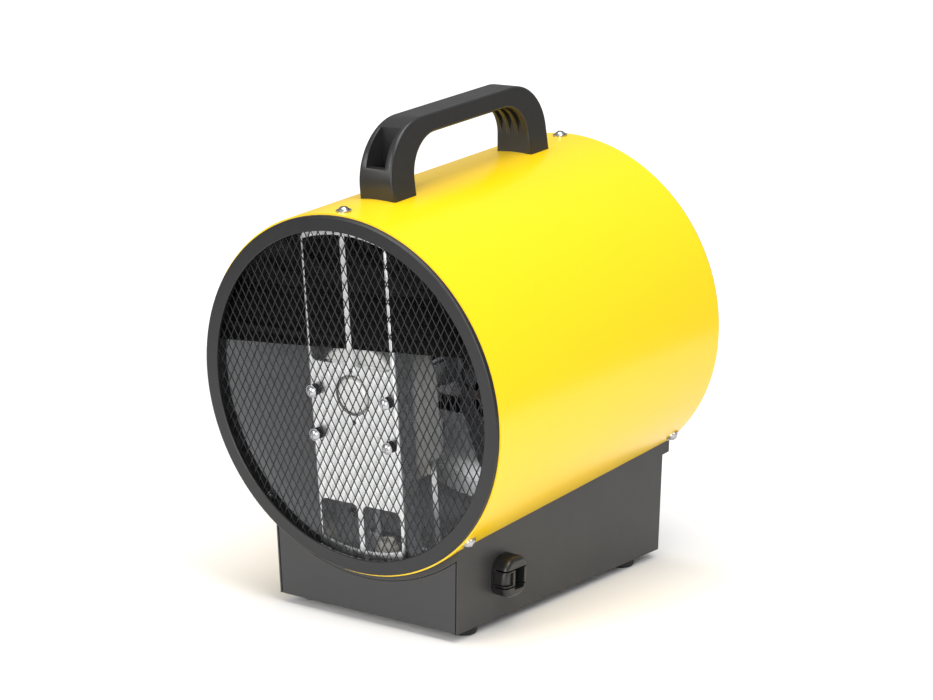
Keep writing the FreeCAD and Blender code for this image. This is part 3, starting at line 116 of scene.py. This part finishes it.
@dataclass(frozen=True)
class Finish:
    """A surface finish, and the material made from it.

    Attributes:
        name: what the real material is.
        colour: sRGB hex of the surface.
        metallic: 1 for bare metal.
        roughness: mean roughness.
        grain: the relief it carries.
        grain_mm: size of one bump of that relief.
        relief: strength of the bump, 0 to 1.
        vary: how much the colour wanders, 0 to 1.
        vary_mm: size of the patches of that wandering.
        rough_vary: how much the roughness wanders.
        coat: clear top layer.
        edge_colour: sRGB hex meant for rubbed edges, or empty for none; not used.
    """

    name: str
    colour: str
    metallic: float = 0.0
    roughness: float = 0.5
    grain: Grain = Grain.SMOOTH
    grain_mm: float = 1.0
    relief: float = 0.0
    vary: float = 0.06
    vary_mm: float = 30.0
    rough_vary: float = 0.06
    coat: float = 0.0
    edge_colour: str = ""

    def material(self) -> bpy.types.Material:
        """Build the material once and return it."""
        found = bpy.data.materials.get(self.name)
        if found:
            return found
        made = bpy.data.materials.new(self.name)
        made.use_nodes = True
        tree = made.node_tree
        tree.nodes.clear()
        place = add_node(tree, "TexCoord").outputs["Object"]
        shader = self.shade(tree, place)
        add_node(tree, "OutputMaterial", {"Surface": shader.outputs["BSDF"]})
        return made

    def tint(self, tree: bpy.types.NodeTree, place: bpy.types.NodeSocket) -> bpy.types.NodeSocket:
        """Return the colour socket: the base colour wandering a little in broad soft patches."""
        patches = add_node(tree, "TexNoise", {"Vector": place}, in_Scale=per_mm(self.vary_mm), in_Detail=3.0,
                           in_Roughness=0.55)
        base = linear(self.colour)
        dark = tuple(c * (1 - self.vary) for c in base[:3]) + (1.0,)
        light = tuple(min(1.0, c * (1 + self.vary)) for c in base[:3]) + (1.0,)
        mix = add_node(tree, "Mix", {"Factor": patches.outputs["Fac"]}, data_type="RGBA", in_6=dark, in_7=light)
        return mix.outputs[2]

    def polish(self, tree: bpy.types.NodeTree, place: bpy.types.NodeSocket) -> bpy.types.NodeSocket:
        """Return the roughness socket: duller and shinier patches of handling and casting."""
        smears = add_node(tree, "TexNoise", {"Vector": place}, in_Scale=per_mm(self.vary_mm * 0.45),
                          in_Detail=5.0, in_Roughness=0.6)
        span = add_node(tree, "MapRange", {"Value": smears.outputs["Fac"]}, in_1=0.3, in_2=0.7,
                        in_3=max(0.02, self.roughness - self.rough_vary), in_4=self.roughness + self.rough_vary)
        return span.outputs[0]

    def bump(self, tree: bpy.types.NodeTree, place: bpy.types.NodeSocket) -> bpy.types.NodeSocket | None:
        """Return the normal socket of the finish's relief, or None where the surface is smooth."""
        if self.grain is Grain.SMOOTH:
            return None
        if self.grain is Grain.SPARK:
            pits = add_node(tree, "TexVoronoi", {"Vector": place}, in_Scale=per_mm(self.grain_mm))
            height = pits.outputs["Distance"]
        else:
            detail = 1.0 if self.grain is Grain.ORANGE_PEEL else 4.0
            height = add_node(tree, "TexNoise", {"Vector": place}, in_Scale=per_mm(self.grain_mm),
                              in_Detail=detail).outputs["Fac"]
        made = add_node(tree, "Bump", {"Height": height}, in_Strength=self.relief,
                        in_Distance=self.grain_mm * MM * 0.2)
        return made.outputs["Normal"]

    def shade(self, tree: bpy.types.NodeTree, place: bpy.types.NodeSocket) -> bpy.types.Node:
        """Wire the shader and return it."""
        links = {"Base Color": self.tint(tree, place), "Roughness": self.polish(tree, place)}
        normal = self.bump(tree, place)
        if normal:
            links["Normal"] = normal
        return add_node(tree, "BsdfPrincipled", links, in_Metallic=self.metallic, in_Coat_Weight=self.coat)


@dataclass(frozen=True)
class SpangledZinc(Finish):
    """Hot-dip galvanised sheet: bright crystals a few millimetres across, each leaning its own way."""

    spangle_mm: float = 7.0

    def shade(self, tree: bpy.types.NodeTree, place: bpy.types.NodeSocket) -> bpy.types.Node:
        """Wire the shader with one brightness and roughness for each crystal."""
        cells = add_node(tree, "TexVoronoi", {"Vector": place}, in_Scale=per_mm(self.spangle_mm))
        shade = add_node(tree, "SeparateColor", {"Color": cells.outputs["Color"]})
        base = linear(self.colour)
        dark = tuple(c * (1 - self.vary) for c in base[:3]) + (1.0,)
        tint = add_node(tree, "Mix", {"Factor": shade.outputs[0]}, data_type="RGBA", in_6=dark, in_7=base)
        rough = add_node(tree, "MapRange", {"Value": shade.outputs[1]}, in_3=self.roughness - self.rough_vary,
                         in_4=self.roughness + self.rough_vary)
        fine = add_node(tree, "TexNoise", {"Vector": place}, in_Scale=per_mm(self.grain_mm), in_Detail=2.0)
        relief = add_node(tree, "Bump", {"Height": fine.outputs["Fac"]}, in_Strength=self.relief,
                          in_Distance=0.05 * MM)
        return add_node(tree, "BsdfPrincipled", {"Base Color": tint.outputs[2], "Roughness": rough.outputs[0],
                                                 "Normal": relief.outputs["Normal"]}, in_Metallic=1.0)


@dataclass(frozen=True)
class TwoSidedTube(Finish):
    """The drum: gloss colour outside and on its cut ends, bare dull steel inside."""

    inside: str = "#b2b3b6"
    split_radius: float = 109.05 * MM
    tilt: float = 0.0
    centre: tuple[float, float, float] = (0.0, 0.0, 0.0)

    def shade(self, tree: bpy.types.NodeTree, place: bpy.types.NodeSocket) -> bpy.types.Node:
        """Wire an outer and an inner shader and choose by distance from the drum axis."""
        moved = add_node(tree, "Mapping", {"Vector": place}, vector_type="TEXTURE", in_Location=self.centre,
                         in_Rotation=(self.tilt, 0.0, 0.0))
        flat = add_node(tree, "VectorMath", {0: moved.outputs[0]}, operation="MULTIPLY", in_1=(1.0, 0.0, 1.0))
        reach = add_node(tree, "VectorMath", {0: flat.outputs[0]}, operation="LENGTH")
        outer = add_node(tree, "Math", {0: reach.outputs["Value"]}, operation="GREATER_THAN",
                         in_1=self.split_radius)
        tint = add_node(tree, "Mix", {"Factor": outer.outputs[0], 7: self.tint(tree, place)},
                        data_type="RGBA", in_6=linear(self.inside))
        rough = add_node(tree, "MapRange", {"Value": outer.outputs[0]}, in_3=0.55, in_4=self.roughness)
        metal = add_node(tree, "MapRange", {"Value": outer.outputs[0]}, in_3=0.2, in_4=0.0)
        normal = self.bump(tree, place)
        return add_node(tree, "BsdfPrincipled", {"Base Color": tint.outputs[2], "Roughness": rough.outputs[0],
                                                 "Metallic": metal.outputs[0], "Normal": normal})


# ----------------------------------------------------------------------------------------- the frame's sizes
@dataclass(frozen=True)
class Axis:
    """The drum's own axis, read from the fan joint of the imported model.

    Attributes:
        centre: the drum's middle.
        tilt: how far the outlet end is raised, in radians.
    """

    centre: Vector
    tilt: float

    @classmethod
    def from_frame(cls) -> "Axis":
        """Read the axis from the fan joint, and its middle from the drum tube's box."""
        joint = next(j for j in frame["joints"] if j["name"] == "fan_spin")
        way = Vector(joint["axis"])
        low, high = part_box("drum_tube")
        return cls(centre=(low + high) / 2, tilt=math.atan2(way.z, way.y))

    def matrix(self) -> Matrix:
        """Return the matrix that takes drum coordinates to the row frame."""
        return Matrix.Translation(self.centre) @ Matrix.Rotation(self.tilt, 4, "X")


AXIS = Axis.from_frame()
NAMED_FINISHES: dict[str, Finish] = {
    # polyester powder coat on the drum: even warm yellow, glossy, faint orange peel
    "drum": TwoSidedTube("powder_coated_steel_yellow", "#ffd20d", roughness=0.27, grain=Grain.ORANGE_PEEL,
                         grain_mm=2.2, relief=0.10, vary=0.015, vary_mm=60.0, rough_vary=0.02,
                         tilt=AXIS.tilt, centre=tuple(AXIS.centre)),
    # matt powder coat on the base: charcoal, fine sandy texture
    "base": Finish("powder_coated_steel_charcoal", "#2f2f30", roughness=0.46, grain=Grain.FINE_TEXTURE,
                   grain_mm=0.7, relief=0.12, vary=0.05, vary_mm=40.0, rough_vary=0.03),
    # moulded ring: black, satin
    "ring": Finish("moulded_nylon_black", "#151516", roughness=0.36, grain=Grain.SPARK, grain_mm=0.5,
                   relief=0.08, vary=0.05, vary_mm=25.0, rough_vary=0.03),
    # enamelled expanded steel
    "mesh": Finish("enamelled_expanded_steel", "#0f0f10", roughness=0.45, vary=0.08, vary_mm=6.0),
    # moulded handle: black polypropylene, soft sheen
    "handle": Finish("moulded_polypropylene_black", "#222223", roughness=0.36, grain=Grain.SPARK,
                     grain_mm=0.6, relief=0.10, vary=0.06, vary_mm=18.0, rough_vary=0.04),
    "gland": Finish("moulded_pa66_black", "#1a1a1b", roughness=0.33, grain=Grain.SPARK, grain_mm=0.5,
                    relief=0.06, vary=0.06, vary_mm=8.0, rough_vary=0.04),
    "galvanised": SpangledZinc("galvanised_steel_sheet", "#f0f1f2", metallic=1.0, roughness=0.34, vary=0.07,
                               rough_vary=0.06, grain_mm=0.9, relief=0.15),
    "shield": Finish("pressed_zinc_plated_steel", "#dcdcda", metallic=0.3, roughness=0.38, vary=0.05,
                     vary_mm=14.0, rough_vary=0.05),
    "zinc": Finish("bright_zinc_plated_steel", "#b4b5b7", metallic=1.0, roughness=0.26, vary=0.06,
                   vary_mm=3.0, rough_vary=0.06),
    "lamination": Finish("stamped_silicon_steel", "#77787b", metallic=1.0, roughness=0.45, vary=0.1,
                         vary_mm=4.0),
    "shaft": Finish("ground_steel", "#c4c5c7", metallic=1.0, roughness=0.2, vary=0.04, vary_mm=6.0),
    "bronze": Finish("sintered_bronze", "#a9824f", metallic=1.0, roughness=0.5, vary=0.1, vary_mm=2.0),
    "winding": Finish("taped_winding", "#8f8e8a", roughness=0.55, vary=0.12, vary_mm=5.0,
                      grain=Grain.FINE_TEXTURE, grain_mm=1.2, relief=0.3),
    "nylon": Finish("natural_nylon", "#e4e2da", roughness=0.38, vary=0.04, vary_mm=9.0),
    "fan": Finish("anodised_aluminium_dark", "#8c8d90", metallic=0.8, roughness=0.26, vary=0.07,
                  vary_mm=20.0, rough_vary=0.07),
    "fins": Finish("rolled_aluminium_fins", "#b4b5b6", metallic=1.0, roughness=0.38, vary=0.08, vary_mm=6.0),
    "liner": Finish("polished_aluminised_steel", "#f4f5f5", metallic=0.7, roughness=0.24, vary=0.04,
                    vary_mm=40.0, rough_vary=0.04),
    "ceramic": Finish("barium_titanate_ceramic", "#7d7670", roughness=0.7, vary=0.12, vary_mm=3.0,
                      grain=Grain.FINE_TEXTURE, grain_mm=0.5, relief=0.2),
    "heatproof": Finish("glass_filled_pbt", "#3a3835", roughness=0.5, vary=0.06, vary_mm=10.0,
                        grain=Grain.SPARK, grain_mm=0.5, relief=0.1),
    "brass": Finish("tinned_brass", "#cdb77d", metallic=1.0, roughness=0.3, vary=0.06, vary_mm=4.0),
    "lens": Finish("tinted_polycarbonate", "#c4230c", roughness=0.12, vary=0.05, vary_mm=5.0, coat=0.6),
    "rubber": Finish("moulded_rubber", "#19191a", roughness=0.72, vary=0.08, vary_mm=5.0,
                     grain=Grain.FINE_TEXTURE, grain_mm=0.6, relief=0.2),
}


# ----------------------------------------------------------------------------------------- piece helpers
def dress(nodes: Iterable[str], finish: str, bevel_mm: float = 0.0) -> int:
    """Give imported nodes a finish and, where asked, softened edges.

    Args:
        nodes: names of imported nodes.
        finish: key of NAMED_FINISHES.
        bevel_mm: width of the softened edge, or zero for none.

    Returns:
        How many nodes were dressed.
    """
    count = 0
    for name in nodes:
        piece = frame["nodes"][name]
        piece.data.materials.clear()
        piece.data.materials.append(NAMED_FINISHES[finish].material())
        if bevel_mm:
            soften(piece, bevel_mm)
        count += 1
    return count


def soften(piece: bpy.types.Object, width_mm: float) -> None:
    """Round a piece's sharp edges with modifiers.

    Args:
        piece: a mesh object.
        width_mm: width of the rounding.
    """
    weld = piece.modifiers.new("weld", "WELD")
    weld.merge_threshold = 0.004 * MM
    flat = piece.modifiers.new("flatten", "DECIMATE")
    flat.decimate_type = "DISSOLVE"
    flat.angle_limit = math.radians(0.2)
    edge = piece.modifiers.new("edge", "BEVEL")
    edge.width = width_mm * MM
    edge.segments = 2
    edge.limit_method = "ANGLE"
    edge.angle_limit = math.radians(35)
    edge.harden_normals = True
    edge.use_clamp_overlap = True


def finish_piece(piece: bpy.types.Object, finish: str, body: str, slot: str, *replaced: str) -> bpy.types.Object:
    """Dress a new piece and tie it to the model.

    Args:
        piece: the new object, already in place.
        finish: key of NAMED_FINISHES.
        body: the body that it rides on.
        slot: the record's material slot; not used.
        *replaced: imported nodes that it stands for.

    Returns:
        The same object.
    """
    piece.data.materials.clear()
    piece.data.materials.append(NAMED_FINISHES[finish].material())
    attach(piece, body)
    if replaced:
        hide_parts(*replaced)
    return piece


def mesh_piece(name: str, points: Sequence[Sequence[float]], faces: Sequence[Sequence[int]],
               place: Matrix | None = None, smooth: bool = False) -> bpy.types.Object:
    """Make a mesh object whose place is in its points.

    Args:
        name: the piece's name.
        points: vertex positions.
        faces: vertex indices of each face.
        place: matrix applied to the points.
        smooth: whether faces are smooth shaded.

    Returns:
        The new object, linked to the scene.
    """
    data = bpy.data.meshes.new(name)
    data.from_pydata([tuple(p) for p in points], [], [tuple(f) for f in faces])
    if place is not None:
        data.transform(place)
    data.update()
    if smooth:
        data.polygons.foreach_set("use_smooth", [True] * len(data.polygons))
    piece = bpy.data.objects.new(name, data)
    bpy.context.scene.collection.objects.link(piece)
    return piece


# ----------------------------------------------------------------------------------------- sub-assemblies
@dataclass
class ExpandedMesh:
    """A disc of expanded metal: diamonds whose strands lean the same way out of the sheet.

    Attributes:
        radius: reach of the strands, under the ring.
        width: one diamond, side to side.
        height: one diamond, tip to tip.
        strand: width of a strand.
        sheet: thickness of the metal.
        lean: how far a strand turns out of the sheet between its joints.
    """

    radius: float = 103.9 * MM
    width: float = 5.7 * MM
    height: float = 10.35 * MM
    strand: float = 0.64 * MM
    sheet: float = 0.36 * MM
    lean: float = math.radians(16)

    def strand_sections(self, start: Vector, end: Vector) -> tuple[list[Vector], list[tuple[int, ...]]]:
        """Return the points and faces of one strand between two joints.

        Args:
            start: the lower joint, as (across, up, out).
            end: the upper joint.

        Returns:
            Points and faces, the faces counted from the strand's own first point.
        """
        along = (end - start).normalized()
        out = Vector((0.0, 0.0, 1.0))
        side = along.cross(out).normalized()
        points: list[Vector] = []
        stations = ((0.0, 0.15), (0.22, 1.0), (0.78, 1.0), (1.0, 0.15))
        for t, share in stations:
            angle = self.lean * share
            across = side * math.cos(angle) + out * math.sin(angle)
            through = out * math.cos(angle) - side * math.sin(angle)
            middle = start.lerp(end, t)
            wide = self.strand / 2 * (1.12 if share < 0.5 else 1.0)
            for a, b in ((-1, -1), (1, -1), (1, 1), (-1, 1)):
                points.append(middle + across * (a * wide) + through * (b * self.sheet / 2))
        faces: list[tuple[int, ...]] = [(0, 1, 2, 3)]
        for ring in range(len(stations) - 1):
            for k in range(4):
                a, b = ring * 4 + k, ring * 4 + (k + 1) % 4
                faces.append((a, a + 4, b + 4, b))
        last = (len(stations) - 1) * 4
        faces.append((last + 3, last + 2, last + 1, last))
        return points, faces

    def build(self, name: str, node: str, end: int) -> bpy.types.Object:
        """Build the disc in place of a packed one.

        Args:
            name: the piece's name.
            node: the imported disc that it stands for.
            end: -1 at the intake, +1 at the outlet.

        Returns:
            The disc.
        """
        low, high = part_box(node)
        middle = AXIS.matrix().inverted() @ ((low + high) / 2)
        points: list[Vector] = []
        faces: list[tuple[int, ...]] = []
        rows = int(2 * self.radius / self.height) + 2
        columns = int(self.radius / self.width) + 2
        for row in range(-rows, rows + 1):
            up = row * self.height / 2
            for column in range(-columns, columns + 1):
                across = (column + (row % 2) / 2) * self.width
                for turn in (-1, 1):
                    start = Vector((across, up, 0.0))
                    stop = Vector((across + turn * self.width / 2, up + self.height / 2, 0.0))
                    if max(start.length, stop.length) > self.radius:
                        continue
                    spots, sides = self.strand_sections(start, stop)
                    base = len(points)
                    points.extend(spots)
                    faces.extend(tuple(i + base for i in side) for side in sides)
        placed = [Vector((p.x, middle.y + end * p.z, p.y)) for p in points]
        if end > 0:
            faces = [tuple(reversed(f)) for f in faces]
        return mesh_piece(name, placed, faces, AXIS.matrix())


@dataclass
class Drum:
    """The painted tube with its end rings and meshes."""

    grille: ExpandedMesh = field(default_factory=ExpandedMesh)

    def build(self) -> int:
        """Build and dress the drum's pieces and return how many there are."""
        count = dress(["drum_tube"], "drum") + dress(["intake_ring", "outlet_ring"], "ring", 0.5)
        for end, side in ((-1, "intake"), (1, "outlet")):
            piece = self.grille.build(side + "_mesh_strands", side + "_mesh", end)
            finish_piece(piece, "mesh", "body", "mesh_paint", side + "_mesh")
            count += 1
        return count


@dataclass
class Motor:
    """The shaded-pole motor, its bracket and its strap."""

    def build(self) -> int:
        """Dress the motor's pieces and return how many there are."""
        count = dress(["motor_bracket"], "galvanised", 0.35)
        count += dress(["motor_strap", "element_plate", "shield_spacers"], "galvanised")
        count += dress(["motor_shield_front", "motor_shield_rear"], "shield")
        count += dress(["stator_stack", "rotor"], "lamination")
        count += dress(["motor_shaft"], "shaft") + dress(["motor_bearings"], "bronze")
        count += dress(["stator_coil"], "winding") + dress(["coil_bobbin", "wire_bush"], "nylon")
        count += dress(["motor_grommets"], "rubber")
        return count


@dataclass
class Fan:
    """The paddle fan on its hub."""

    def build(self) -> int:
        """Dress the fan's pieces and return how many there are."""
        return dress(["fan_impeller", "fan_hub"], "fan") + dress(["fan_nut"], "zinc")


@dataclass
class Element:
    """The ceramic element in its polished liner."""

    def build(self) -> int:
        """Dress the element's pieces and return how many there are."""
        count = dress(["heat_shield"], "liner") + dress(["fin_packs"], "fins")
        count += dress(["ceramic_bars"], "ceramic")
        count += dress(["element_frame", "thermal_cutout"], "heatproof")
        count += dress(["element_tabs"], "brass")
        return count


@dataclass
class Base:
    """The folded base with its panels, feet and controls."""

    def build(self) -> int:
        """Dress the base's pieces and return how many there are."""
        count = dress(["base_shell", "intake_panel", "outlet_panel", "bottom_plate"], "base", 0.4)
        count += dress(["feet"], "rubber")
        count += dress(["mode_switch", "room_thermostat"], "heatproof")
        count += dress(["terminal_block"], "nylon")
        count += dress(["mode_spindle", "thermostat_spindle"], "shaft")
        count += dress(["mode_knob", "thermostat_knob"], "gland", 0.4)
        count += dress(["indicator_lamp"], "lens")
        count += dress(["gland_body", "gland_wedge", "gland_nut"], "gland", 0.3)
        return count


@dataclass
class Handle:
    """The bridge handle."""

    def build(self) -> int:
        """Dress the handle and return how many pieces it has."""
        return dress(["handle"], "handle", 0.5)


@dataclass
class Fasteners:
    """Plated screws, nuts and rivets."""

    nodes: tuple[str, ...] = ("tube_screws", "tube_nuts", "motor_bolts", "motor_nuts", "element_screws",
                              "saddle_screws", "saddle_nuts", "handle_screws", "handle_nuts", "base_screws",
                              "foot_screws", "foot_nuts", "terminal_screws", "control_nuts", "shield_rivets")

    def build(self) -> int:
        """Dress the fasteners and return how many nodes there are."""
        return dress(self.nodes, "zinc")


@dataclass
class Studio:
    """Pale floor, soft lights and the camera.

    Attributes:
        azimuth: degrees from the -Y direction towards +X.
        elevation: degrees above the floor.
        distance: from the aim point.
        aim_offset: aim point from the drum's middle.
        lens_mm: focal length on a 36 mm sensor.
        paper_radius: reach of the floor paper.
        fill: strength of the even light from all round.
        softboxes: name, place, size and watts of each soft light.
    """

    azimuth: float = 36.908
    elevation: float = 12.638
    distance: float = 1647.95 * MM
    aim_offset: tuple[float, float, float] = (-0.48 * MM, 0.0, -2.73 * MM)
    lens_mm: float = 103.25
    paper_radius: float = 0.72
    fill: float = 0.36
    softboxes: tuple[tuple[str, Sequence[float], Sequence[float], float], ...] = (
        ("key", (1.4, -0.5, 2.0), (1.0, 1.6), 29.0),
        ("top", (0.0, -0.2, 2.2), (1.5, 1.5), 29.0),
        ("front", (-0.8, -2.0, 0.9), (1.0, 1.2), 21.0),
        ("low", (1.1, -2.1, 0.5), (1.3, 1.1), 26.0),
    )

    def camera(self) -> None:
        """Make the camera and make it the scene's."""
        az, el = math.radians(self.azimuth), math.radians(self.elevation)
        back = Vector((math.sin(az) * math.cos(el), -math.cos(az) * math.cos(el), math.sin(el)))
        data = bpy.data.cameras.new("camera")
        data.lens, data.sensor_width, data.sensor_fit = self.lens_mm, 36.0, "HORIZONTAL"
        data.clip_end = 20.0
        camera = bpy.data.objects.new("camera", data)
        aim = AXIS.centre + Vector(self.aim_offset)
        camera.location = aim + back * self.distance
        camera.rotation_euler = (-back).to_track_quat("-Z", "Y").to_euler()
        bpy.context.scene.collection.objects.link(camera)
        bpy.context.scene.camera = camera

    def softbox(self, name: str, where: Sequence[float], size: Sequence[float], watts: float) -> None:
        """Add one rectangular soft light aimed at the drum.

        Args:
            name: the light's name.
            where: its place.
            size: its width and height.
            watts: its power.
        """
        data = bpy.data.lights.new(name, "AREA")
        data.shape, data.size, data.size_y, data.energy = "RECTANGLE", size[0], size[1], watts
        lamp = bpy.data.objects.new(name, data)
        lamp.location = where
        lamp.rotation_euler = (AXIS.centre - Vector(where)).to_track_quat("-Z", "Y").to_euler()
        bpy.context.scene.collection.objects.link(lamp)

    def floor(self) -> None:
        """Make the pale floor: a round sweep of paper."""
        points = [(self.paper_radius * math.cos(math.radians(a)), self.paper_radius * math.sin(math.radians(a)), 0)
                  for a in range(0, 360, 3)]
        piece = mesh_piece("floor", points, [tuple(range(len(points)))])
        paint = Finish("matt_white_paper", "#fbfaf9", roughness=0.9, vary=0.003, vary_mm=300.0)
        piece.data.materials.append(paint.material())

    def sky(self) -> None:
        """Surround the set with even soft light that looks plain white by itself."""
        world = bpy.data.worlds.new("studio")
        world.use_nodes = True
        tree = world.node_tree
        tree.nodes.clear()
        path = add_node(tree, "LightPath")
        power = add_node(tree, "MapRange", {"Value": path.outputs["Is Camera Ray"]}, in_3=self.fill, in_4=1.2)
        glow = add_node(tree, "Background", {"Strength": power.outputs[0]}, in_Color=(1.0, 1.0, 1.0, 1.0))
        add_node(tree, "OutputWorld", {"Surface": glow.outputs[0]})
        bpy.context.scene.world = world

    def build(self) -> int:
        """Set the stage and return how many things it has."""
        self.camera()
        self.floor()
        self.sky()
        for name, where, size, watts in self.softboxes:
            self.softbox(name, where, size, watts)
        bpy.context.scene.view_settings.view_transform = "Standard"
        return 3 + len(self.softboxes)


def main() -> None:
    """Build every sub-assembly in order."""
    logging.basicConfig(level=logging.INFO, format="%(name)s: %(message)s")
    for part in (Studio(), Drum(), Motor(), Fan(), Element(), Base(), Handle(), Fasteners()):
        LOG.info("%s: %d pieces", type(part).__name__, part.build())


if __name__ == "__main__":
    main()
